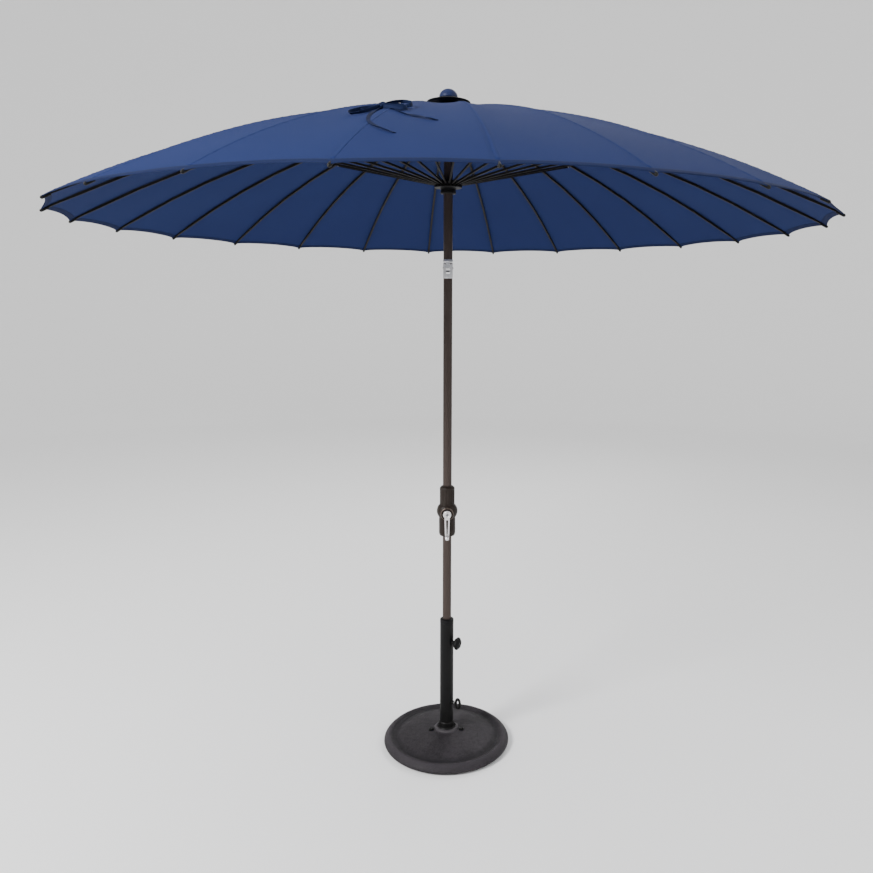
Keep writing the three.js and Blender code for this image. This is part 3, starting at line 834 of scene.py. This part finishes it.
def bow():
    """The tie strap, knotted in a bow on the outside of the fabric."""
    flat = math.radians(80)
    straps = {
        "bow_loop_left": ([(-0.004, 0.002, 0.002), (-0.03, 0.000, 0.004), (-0.06, 0.012, 0.003),
                           (-0.088, 0.052, 0.002), (-0.084, 0.094, 0.001), (-0.056, 0.1, 0.001),
                           (-0.026, 0.052, 0.001)], 0.5, 0.5, True),
        "bow_loop_inner": ([(-0.004, 0.004, 0.002), (-0.024, 0.008, 0.005), (-0.046, 0.026, 0.004),
                            (-0.054, 0.052, 0.002), (-0.034, 0.056, 0.001),
                            (-0.012, 0.022, 0.001)], 0.7, 0.4, True),
        "bow_loop_right": ([(0.004, 0.0, 0.003), (0.03, -0.016, 0.006), (0.062, -0.026, 0.007),
                            (0.088, -0.004, 0.006), (0.084, 0.034, 0.003), (0.05, 0.046, 0.001),
                            (0.016, 0.022, 0.002)], 0.4, 0.5, True),
        "bow_loop_low": ([(0.006, 0.008, 0.001), (0.03, 0.01, 0.003), (0.058, 0.028, 0.003),
                          (0.078, 0.07, 0.001), (0.06, 0.092, 0.001), (0.032, 0.07, 0.001),
                          (0.012, 0.03, 0.001)], 0.7, 0.4, True),
        "bow_tail_left": ([(-0.002, 0.008, 0.002), (-0.014, 0.06, 0.0), (-0.022, 0.16, 0.0),
                           (-0.018, 0.25, 0.0), (-0.004, 0.305, 0.0), (0.024, 0.352, 0.002),
                           (0.062, 0.396, 0.0)], flat, 0.35, False),
        "bow_tail_right": ([(0.006, 0.008, 0.002), (0.034, 0.06, 0.0), (0.066, 0.13, 0.0),
                            (0.1, 0.185, 0.002), (0.14, 0.226, 0.002), (0.168, 0.25, 0.0)],
                           flat, 0.35, False),
    }
    for name, (places, tilt, twist, closed) in straps.items():
        made, length = ribbon(name, places, tilt, twist, closed)
        folds_with(made, BOW_RIB)
    knot_points = [(-0.008, 0.002, 0.008), (-0.003, -0.007, 0.011), (0.005, -0.005, 0.012),
                   (0.009, 0.004, 0.009), (0.003, 0.011, 0.007), (-0.005, 0.01, 0.006)]
    knot_x, knot_y = BOW_KNOT
    line = smooth_line([above_canopy(knot_x + right, knot_y - out, lift)
                        for right, out, lift in knot_points], 6, True)
    knot = tube("bow_knot", line, 0.0062, ribbon_cloth, 14, closed=True)
    folds_with(knot, BOW_RIB)


def canopy():
    stand_in = None
    for rib in RIBS:
        made, width, length = gore(rib)
        border = hem(rib)
        seam_piece, threads = seam(rib)
        hem_threads = hem_stitches(rib)
        rib_cap(rib)
        joint_rivets(rib)
        if stand_in is None:
            stand_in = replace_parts(made, "canopy")


# ---- poles, tilt and hubs -------------------------------------------------
def pole_tube(name, low, high, body):
    inner = POLE_RADIUS - POLE_WALL
    edge = 0.0005
    made = turned(name, [
        (inner, low), (POLE_RADIUS - edge, low), (POLE_RADIUS, low + edge),
        (POLE_RADIUS, high - edge), (POLE_RADIUS - edge, high), (inner, high),
    ], bronze, 72)
    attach(made, body)
    return made


def tilt_joint():
    """Cast knuckles with a tongue in a fork, a pin and a push button."""
    pivot = joints["canopy_tilt"]["pos_m"][2]
    shoulder_up, shoulder_down = pivot + KNUCKLE_REACH, pivot - KNUCKLE_REACH
    end_up, end_down = shoulder_up + UPPER_KNUCKLE_LENGTH, shoulder_down - LOWER_KNUCKLE_LENGTH
    upper = turned("knuckle_upper", [
        (0, shoulder_up), (KNUCKLE_RADIUS - 0.003, shoulder_up),
        (KNUCKLE_RADIUS, shoulder_up + 0.003), (KNUCKLE_RADIUS, end_up - 0.006),
        (KNUCKLE_RADIUS - 0.0006, end_up - 0.003), (POLE_RADIUS + 0.0004, end_up), (0, end_up),
    ], casting, 72)
    tip = 0.017
    outline = arc((0, 0), tip, 180, 360, 24) + [(tip, KNUCKLE_REACH + 0.001),
                                                (-tip, KNUCKLE_REACH + 0.001)]
    tongue = prism("tongue", outline, 0.016, casting)
    stood(tongue, (0, 0, pivot), "Z")
    carve(upper, tongue, "UNION")
    bevel(upper, 0.0009, 3, 40)
    rides(upper, "top")
    lower = turned("knuckle_lower", [
        (0, end_down), (POLE_RADIUS + 0.0004, end_down), (KNUCKLE_RADIUS - 0.0006, end_down + 0.003),
        (KNUCKLE_RADIUS, end_down + 0.006), (KNUCKLE_RADIUS, pivot + 0.022), (0, pivot + 0.022),
    ], casting, 72)
    cheek_tip = 0.022
    envelope = arc((0, 0), cheek_tip, 0, 180, 32) + [(-cheek_tip, -0.06), (cheek_tip, -0.06)]
    rounding = prism("rounding", envelope, 0.1, casting)
    stood(rounding, (0, 0, pivot), "Z")
    carve(lower, rounding, "INTERSECT")
    gap = 0.0084
    carve(lower, block("gap", (-gap, -0.04, shoulder_down), (gap, 0.04, pivot + 0.05), casting))
    hole = turned("hole", [(0, -0.03), (0.0064, -0.03), (0.0064, -0.008), (0, -0.008)], casting, 48)
    carve(lower, stood(hole, (0, 0, pivot), "Y"))
    bevel(lower, 0.0009, 3, 40)
    rides(lower, "pole")
    low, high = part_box("tilt_button")
    reach = high[0] - low[0]
    button = turned("button", [
        (0, 0), (0.006, 0), (0.006, reach - 0.0022), (0.0054, reach - 0.0008),
        (0.0042, reach - 0.0002), (0.003, reach - 0.0006), (0, reach - 0.0009),
    ], polished, 48)
    stood(button, (high[0], 0, pivot), "Y", -0.25)
    rides(button, "tilt_button", "tilt_button")
    pin = turned("tilt_pin", [
        (0, 0), (0.0052, 0), (0.0052, 0.0012), (0.0046, 0.0022), (0.003, 0.0029), (0, 0.0031),
    ], dark_casting, 40)
    stood(pin, (KNUCKLE_RADIUS - 0.0012, 0, pivot), "Y")
    rides(pin, "pole")
    return end_up, end_down


def notch_tools(low, high):
    """One mesh of bars, to cut a notch for each rib."""
    bars = []
    for rib in RIBS:
        bar = block("bar", (NOTCH_START, -NOTCH_HALF_WIDTH, low),
                    (NOTCH_END, NOTCH_HALF_WIDTH, high), black_plastic)
        bars.append(moved(bar, spun(rib_azimuth(rib), "Z")))
    return merged("bars", bars)


def poles():
    end_up, end_down = tilt_joint()
    pivot_height = joints[f"{RIBS[0]}_fold"]["pos_m"][2]
    crown_top, crown_bottom = pivot_height + 0.0042, pivot_height - 0.011
    tube_piece = pole_tube("pole_upper_tube", end_up - 0.001, crown_bottom - 0.014, "top")
    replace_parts(tube_piece, "upper_pole")
    crown = turned("crown", [
        (0.0094, crown_bottom - 0.018), (0.0235, crown_bottom - 0.018),
        (0.025, crown_bottom - 0.0165), (0.025, crown_bottom - 0.0015),
        (0.0265, crown_bottom), (0.0555, crown_bottom), (0.057, crown_bottom + 0.0015),
        (0.057, crown_top - 0.0015), (0.0555, crown_top), (0.0094, crown_top),
    ], black_plastic, 96)
    carve(crown, notch_tools(crown_bottom - 0.01, crown_top + 0.01))
    bevel(crown, 0.0005, 2, 40)
    rides(crown, "top")
    low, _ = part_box("lower_pole")
    lower = pole_tube("pole_lower_tube", low[2], end_down + 0.001, "pole")
    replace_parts(lower, "lower_pole")


def runner():
    low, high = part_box("runner")
    flange_bottom = high[2] - 0.028
    bore, sleeve, rim = 0.0238, 0.0325, 0.057
    made = turned("runner_body", [
        (bore, low[2] + 0.0008), (bore + 0.0008, low[2]), (sleeve - 0.003, low[2]),
        (sleeve - 0.001, low[2] + 0.0012), (sleeve, low[2] + 0.004), (sleeve, low[2] + 0.008),
        (sleeve - 0.0015, low[2] + 0.0095), (sleeve - 0.0015, flange_bottom - 0.004),
        (sleeve + 0.003, flange_bottom), (rim - 0.0015, flange_bottom),
        (rim, flange_bottom + 0.0015), (rim, high[2] - 0.0015), (rim - 0.0015, high[2]),
        (bore + 0.0008, high[2]), (bore, high[2] - 0.0008),
    ], black_plastic, 96)
    carve(made, notch_tools(flange_bottom + 0.003, high[2] + 0.01))
    bevel(made, 0.0005, 2, 40)
    rides(made, "runner", "runner")


def finial():
    low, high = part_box("finial")
    radius = (high[0] - low[0]) / 2
    brim_low = high[2] - 0.056
    brim_top = high[2] - 0.039
    brim = turned("finial_disc", [
        (0.009, low[2]), (0.009, brim_low - 0.018), (0.025, brim_low - 0.018),
        (0.0285, brim_low - 0.0165), (0.0305, brim_low - 0.0135), (0.034, brim_low - 0.0095),
        (0.041, brim_low - 0.0055), (0.052, brim_low - 0.0025), (0.07, brim_low - 0.0006),
        (radius - 0.003, brim_low), (radius - 0.0008, brim_low + 0.0008),
        (radius, brim_low + 0.0022), (radius - 0.001, brim_low + 0.0036),
        (radius - 0.006, brim_low + 0.0046), (0.06, brim_top - 0.0045),
        (0.044, brim_top - 0.0008), (0.0405, brim_top), (0.0385, brim_top - 0.0006),
        (0, brim_top - 0.0006),
    ], black_plastic, 96)
    rides(brim, "top", "finial")
    waist = brim_top + 0.0075
    height = high[2] - waist
    profile = [(0, brim_top - 0.0004), (0.034, brim_top - 0.0004), (0.0362, brim_top + 0.0006),
               (0.0366, brim_top + 0.0022), (0.0352, brim_top + 0.0034)]
    profile += [(DOME_RADIUS * math.cos(angle), waist + height * math.sin(angle))
                for angle in (math.radians(step) for step in range(-6, 90, 6))]
    profile.append((0, high[2]))
    dome = turned("finial_dome", profile, dome_plastic, 96)
    rides(dome, "top")


# ---- crank ----------------------------------------------------------------
def crank_housing():
    low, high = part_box("crank_housing")
    bottom, top = low[2], high[2]
    bore = POLE_RADIUS + 0.0004
    collar_bottom, ball_height = top - 0.08, top - 0.111
    ball, squash = 0.0453, 0.95
    collar, sleeve = 0.0324, 0.0356
    turn = math.acos(sleeve / ball)
    ball_arc = []
    for step in range(25):
        angle = -turn + 2 * turn * step / 24
        ball_arc.append((ball * math.cos(angle), ball_height + ball * squash * math.sin(angle)))
    groove = 0.0007
    shell = turned("crank_shell", [
        (bore, bottom), (sleeve - 0.008, bottom), (sleeve - 0.0045, bottom + 0.0015),
        (sleeve - 0.0016, bottom + 0.006), (sleeve - 0.0002, bottom + 0.013),
        (sleeve, bottom + 0.018), (sleeve, ball_arc[0][1] - 0.006),
        (sleeve - groove, ball_arc[0][1] - 0.0045), (sleeve - groove, ball_arc[0][1] - 0.003),
        (sleeve, ball_arc[0][1] - 0.0015), *ball_arc,
        (collar + 0.0012, ball_arc[-1][1] + 0.001), (collar - 0.001, collar_bottom + 0.0004),
        (bore, collar_bottom + 0.0004),
    ], bronze_plastic, 96)
    boss = turned("boss", [
        (0, -0.03), (0.028, -0.03), (0.0272, -0.008), (0.0262, -0.002), (0.025, -0.0004),
        (0.0236, 0), (0.0205, 0), (0.0195, -0.0012), (0, -0.0012),
    ], bronze_plastic, 72)
    crank_height = joints["crank_turn"]["pos_m"][2]
    stood(boss, (0, low[1], crank_height), "X")
    carve(shell, boss, "UNION")
    cover = turned("cover", [(0, -0.2), (bore, -0.2), (bore, 0.2), (0, 0.2)], bronze_plastic, 72)
    carve(shell, stood(cover, (0, 0, crank_height)))
    bevel(shell, 0.0006, 2, 40)
    rides(shell, "pole", "crank_housing")

    def fluted(radius, height, angle):
        inside = radius < collar - 0.004
        ends = min(1, max(0, (height - collar_bottom - 0.006) / 0.006))
        ends *= min(1, max(0, (top - 0.012 - height) / 0.006))
        wave = max(0, math.cos(12 * angle)) ** 1.5
        return radius if inside else radius - 0.0022 * wave * ends

    heights = [collar_bottom + 0.004 + (0.08 - 0.014) * step / 20 for step in range(21)]
    cap = turned("crank_collar", [
        (bore, collar_bottom + 0.0006), (collar - 0.0008, collar_bottom + 0.0006),
        (collar, collar_bottom + 0.0016), *[(collar, height) for height in heights],
        (collar - 0.001, top - 0.0075), (collar - 0.0065, top - 0.0012),
        (collar - 0.0085, top), (bore, top),
    ], bronze_plastic, 144, fluted)
    rides(cap, "pole")
    # A ring round the boss in the lighter bronze: painted highlight along the boss's rim.
    ring = turned("crank_ring", [
        (0.0252, -0.0036), (0.0272, -0.003), (0.028, -0.0016), (0.0276, -0.0002),
        (0.0264, 0.0005), (0.0252, 0.0001), (0.0246, -0.0012),
    ], highlight_bronze, 96)
    stood(ring, (0, low[1], crank_height), "X")
    rides(ring, "pole")
    for side in (-1, 1):
        place = Matrix.Translation((side * (sleeve - 0.0008), -0.006, bottom + 0.03))
        screw = screw_head(f"housing_screw_{'left' if side < 0 else 'right'}", 0.0034, zinc)
        moved(screw, place @ spun(side * math.pi / 2, "Y"))
        rides(screw, "pole")


def screw_head(name, radius, material):
    """A pan head with a cross recess, along +Z."""
    head = turned(name, [
        (0, -0.002), (radius, -0.002), (radius, radius * 0.25), (radius * 0.92, radius * 0.42),
        (radius * 0.72, radius * 0.58), (radius * 0.4, radius * 0.66), (0, radius * 0.68),
    ], material, 40)
    arm, width = radius * 0.6, radius * 0.12
    bars = [block("bar", (-arm, -width, radius * 0.36), (arm, width, radius), material),
            block("bar", (-width, -arm, radius * 0.36), (width, arm, radius), material)]
    for bar in bars:
        carve(head, bar)
    return head


def crank_handle():
    low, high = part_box("crank_handle")
    axle = joints["crank_turn"]["pos_m"]
    back = high[1]
    thickness = 0.007
    disc, knob, arm = 0.0175, 0.009, high[2] - 0.0175 - low[2] - 0.009
    outline = arc((0, 0), disc, -50, 230, 48) + arc((0, -arm), knob, 190, 350, 20)
    plate = prism("crank_plate", outline, thickness, polished)
    trench = [(-0.005, -0.024), (0.005, -0.024), (0.0026, -arm + 0.014), (-0.0026, -arm + 0.014)]
    carve(plate, moved(prism("trench", trench, 0.006, polished),
                       Matrix.Translation((0, -thickness / 2, 0))))
    # A dark plate on the trench's floor: painted shade in the trench.
    floor = prism("crank_groove", trench, 0.0006, shaded_groove_metal)
    stood(floor, (0, back - thickness + 0.003, axle[2]))
    rides(floor, "crank")
    bevel(plate, 0.0016, 4, 40)
    stood(plate, (0, back - thickness / 2, axle[2]))
    rides(plate, "crank", "crank_handle")
    length = back - thickness - low[1]
    grip = turned("crank_knob", [
        (0, -0.001), (0.0052, -0.001), (0.0052, 0.002), (0.0088, 0.0035), (0.009, 0.006),
        (0.0084, 0.012), (0.008, 0.018), (0.0084, length - 0.006), (0.0078, length - 0.0025),
        (0.0058, length - 0.0006), (0.003, length), (0, length),
    ], polished, 56)
    stood(grip, (0, back - thickness, axle[2] - arm), "X")
    rides(grip, "crank")
    bolt = screw_head("crank_bolt", 0.0062, dark_casting)
    stood(bolt, (0, back - thickness, axle[2]), "X")
    rides(bolt, "crank")
    rim = turned("crank_rim", [
        (0.0112, 0.0), (0.0115, 0.0011), (0.0124, 0.0016), (0.0133, 0.0011), (0.0136, 0.0),
        (0.0136, -0.001), (0.0112, -0.001),
    ], polished, 72)
    stood(rim, (0, back - thickness, axle[2]), "X")
    rides(rim, "crank")


# ---- base -----------------------------------------------------------------
def base_weight():
    _, (rim, _, top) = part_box("base_weight")
    outline = [(0.256, 0), (0.264, 0.0015), (0.2708, 0.0045), (0.2762, 0.009), (0.279, 0.013),
               (rim, 0.017), (0.2792, 0.0212), (0.2765, 0.0258), (0.2722, 0.0306),
               (0.2665, 0.0354), (0.2605, 0.0392), (0.256, 0.041), (0.252, 0.0414),
               (0.248, 0.0402), (0.2435, 0.0372), (0.239, 0.034), (0.234, 0.0322),
               (0.229, 0.0318), (0.224, 0.0328), (0.2185, 0.0352), (0.208, 0.0397),
               (0.195, 0.0436), (0.178, 0.0477), (0.155, 0.052), (0.125, 0.056),
               (0.095, 0.0587), (0.07, 0.0603), (0.06, 0.0612), (0.056, 0.0626),
               (0.053, 0.0646), (0.05, top - 0.0004)]
    line = smooth_line([(radius, 0, height) for radius, height in outline], 4)
    profile = [(0, 0), (0.2, 0), *[(point.x, point.z) for point in line], (0.047, top), (0, top)]
    made = turned("base_stone", profile, resin_stone, 180, None, 50)
    for vertex in made.data.vertices:
        place = vertex.co
        reach = math.hypot(place.x, place.y)
        if reach < 0.052 or place.z < 0.003:
            continue
        rough = noise.noise(place * 85) * 0.0005 + noise.noise(place * 26) * 0.0006
        place.z += min(rough, 0.0004)
    rides(made, "root", "base_weight")


def hexagon(radius, level, angle):
    """A hexagon's reach where the section is a bolt head's."""
    turn = math.pi / 3
    flat = math.cos(turn / 2) / math.cos((angle + turn / 2) % turn - turn / 2)
    return radius * flat if level > 0.0015 and radius < 0.012 else radius


def base_tube():
    low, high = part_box("base_tube")
    radius, wall = 0.03, 0.003
    foot, top = low[2], high[2]
    bore = radius - wall
    made = turned("tube_body", [
        (bore, foot + 0.002), (radius, foot + 0.002), (radius, top - 0.0185),
        (radius - 0.0004, top - 0.018), (bore, top - 0.018),
    ], black_steel, 96)
    rides(made, "root", "base_tube")
    guide = POLE_RADIUS + 0.0004
    bush = turned("tube_bush", [
        (guide, top - 0.0215), (bore - 0.0003, top - 0.0215), (bore - 0.0003, top - 0.0175),
        (radius + 0.0001, top - 0.0172), (radius + 0.0003, top - 0.016), (radius + 0.0003, top - 0.0055),
        (radius - 0.0008, top - 0.0025), (radius - 0.004, top - 0.0006), (radius - 0.006, top),
        (guide + 0.001, top), (guide, top - 0.001),
    ], black_plastic, 96)
    rides(bush, "root")
    collar = turned("tube_collar", [
        (radius + 0.0002, foot), (0.0388, foot), (0.0395, foot + 0.0008), (0.039, foot + 0.003),
        (0.036, foot + 0.0062), (0.0337, foot + 0.0088), (0.0335, foot + 0.011),
        (0.0335, foot + 0.027), (0.0327, foot + 0.03), (0.0312, foot + 0.0325),
        (radius + 0.0002, foot + 0.0335),
    ], black_steel, 96)
    rides(collar, "root")
    # The lip round the foot is in the lighter stone: painted highlight.
    lip = turned("foot_lip", [
        (0.0397, foot - 0.004), (0.052, foot - 0.004), (0.0522, foot - 0.001),
        (0.05, foot + 0.0032), (0.0462, foot + 0.006), (0.0424, foot + 0.007),
        (0.0404, foot + 0.0064), (0.0397, foot + 0.005),
    ], lit_stone, 96)
    rides(lip, "root")
    # Two black hex bolt heads beside the foot, sized to fill the dark patches there, so they are partly
    # bolt heads and partly painted shade.
    for side in (-1, 1):
        bolt = turned(f"foot_bolt_and_shade_{'left' if side < 0 else 'right'}", [
            (0, -0.006), (0.0135, -0.006), (0.0135, 0.0008), (0.0128, 0.0014), (0.0114, 0.0016),
            (0.0106, 0.0066), (0.0092, 0.008), (0, 0.0084),
        ], black_steel, 6 * 8, hexagon)
        rides(stood(bolt, (side * 0.0665, -0.012, foot - 0.005)), "root")
    for joint in ("screw_upper_turn", "screw_lower_turn"):
        height = joints[joint]["pos_m"][2]
        nut = turned(f"boss_{joint[6:11]}", [
            (0.0045, -0.001), (0.0098, -0.001), (0.0088, 0.0012), (0.0086, 0.0058),
            (0.0076, 0.0068), (0.0045, 0.0068),
        ], black_steel, 48)
        moved(nut, screw_stand(height) @ Matrix.Translation((0, 0, radius)))
        rides(nut, "root")


def screw_stand(height):
    """Carries a piece drawn along +Z onto a thumb screw's axis."""
    axis = Vector(joints["screw_upper_turn"]["axis"])
    return (Matrix.Translation((0, 0, height)) @ spun(math.atan2(axis.y, axis.x), "Z")
            @ spun(math.pi / 2, "Y"))


def thumb_screws():
    height = joints["screw_upper_turn"]["pos_m"][2]
    start, head, tip = 0.02, 0.041, 0.068

    def lobed(radius, level, angle):
        wave = 0.5 + 0.5 * math.cos(6 * angle)
        return radius * (1 - 0.09 * wave) if radius > 0.02 else radius

    profile = [(0, head), (0.0105, head), (0.0122, head + 0.0008), (0.015, head + 0.0014),
               (0.02, head + 0.0032), (0.0245, head + 0.0062), (0.027, head + 0.0092),
               (0.0279, head + 0.0125), (0.0274, head + 0.016), (0.0254, head + 0.0195),
               (0.0215, head + 0.0222), (0.016, head + 0.024), (0.01, tip),
               (0.0088, tip - 0.0008), (0, tip - 0.0008)]
    knob = turned("knob_head", profile, black_plastic, 96, lobed)
    rides(moved(knob, screw_stand(height)), "screw_upper", "thumb_screw_upper")

    def threaded(name, level, body, end):
        """A screw's shank, with its thread as a row of ridges."""
        profile = [(0, start), (0.003, start)]
        for step in range(int((end - start) / 0.00125)):
            along = start + 0.00125 * step
            profile += [(0.0034, along + 0.0003), (0.004, along + 0.0009)]
        profile += [(0.0036, end), (0, end)]
        shank = turned(name, profile, zinc, 32)
        rides(moved(shank, screw_stand(level)), body)

    threaded("knob_shank", height, "screw_upper", head + 0.001)
    level = joints["screw_lower_turn"]["pos_m"][2]
    threaded("eye_shank", level, "screw_lower", 0.046)
    ring = [Vector((0.0208 * math.sin(angle), 0, 0.058 + 0.01 * math.cos(angle)))
            for angle in (2 * math.pi * step / 64 for step in range(64))]
    eye = moved(tube("eye_head", ring, 0.0058, black_steel, 16, closed=True), screw_stand(level))
    rides(eye, "screw_lower", "thumb_screw_lower")
    neck = turned("eye_neck", [(0, 0.043), (0.0042, 0.043), (0.0055, 0.045), (0.0046, 0.0495),
                               (0, 0.0495)], black_steel, 32)
    rides(moved(neck, screw_stand(level)), "screw_lower")


# ---- stage, lights and camera ---------------------------------------------
def stage():
    pale = Shader("floor", (0.88, 0.88, 0.88), 0.9).material
    profile = [(0, 0), (4, 0), (9, 0), (10.5, 0.12), (12, 0.6), (13.2, 1.5), (14, 3), (14.6, 6),
               (14.8, 10)]
    line = smooth_line([(radius, 0, height) for radius, height in profile], 6)
    sides = 96
    points = [(point.x * math.cos(turn), point.x * math.sin(turn), point.z - 0.0006)
              for point in line for turn in (2 * math.pi * side / sides for side in range(sides))]
    build("floor", points, ring_faces(len(line), sides, capped=False), pale)
    world = bpy.data.worlds.new("studio")
    world.use_nodes = True
    world.node_tree.nodes["Background"].inputs["Color"].default_value = (1, 1, 1, 1)
    world.node_tree.nodes["Background"].inputs["Strength"].default_value = 1.0
    bpy.context.scene.world = world


def area_light(name, place, target, size, power):
    data = bpy.data.lights.new(name, "AREA")
    data.shape = "DISK"
    data.size = size
    data.energy = power
    lamp = bpy.data.objects.new(name, data)
    bpy.context.scene.collection.objects.link(lamp)
    lamp.location = place
    aim = Vector(target) - Vector(place)
    lamp.rotation_euler = aim.to_track_quat("-Z", "Y").to_euler()


def lights():
    area_light("key", (-4.4, -3.6, 4.6), (0, 0, 1.5), 2.2, 620)
    area_light("fill", (5.0, -3.2, 4.4), (0, 0, 2.2), 3.5, 110)
    area_light("rim", (2.0, 4.5, 5.5), (0, 0, 2.4), 3.0, 140)


def camera():
    data = bpy.data.cameras.new("camera")
    data.sensor_width = 36
    data.lens = CAMERA_LENS
    data.shift_x, data.shift_y = CAMERA_SHIFT
    data.clip_end = 100
    made = bpy.data.objects.new("camera", data)
    bpy.context.scene.collection.objects.link(made)
    level = spun(math.radians(-CAMERA_YAW), "Z") @ spun(math.radians(90 + CAMERA_PITCH), "X")
    made.matrix_world = (Matrix.Translation(CAMERA_PLACE) @ level
                         @ spun(math.radians(CAMERA_ROLL), "Z"))
    bpy.context.scene.camera = made


camera()
stage()
lights()
ribs_and_struts()
canopy()
bow()
hub_wires()
poles()
runner()
finial()
crank_housing()
crank_handle()
base_weight()
base_tube()
thumb_screws()

bpy.context.view_layer.update()
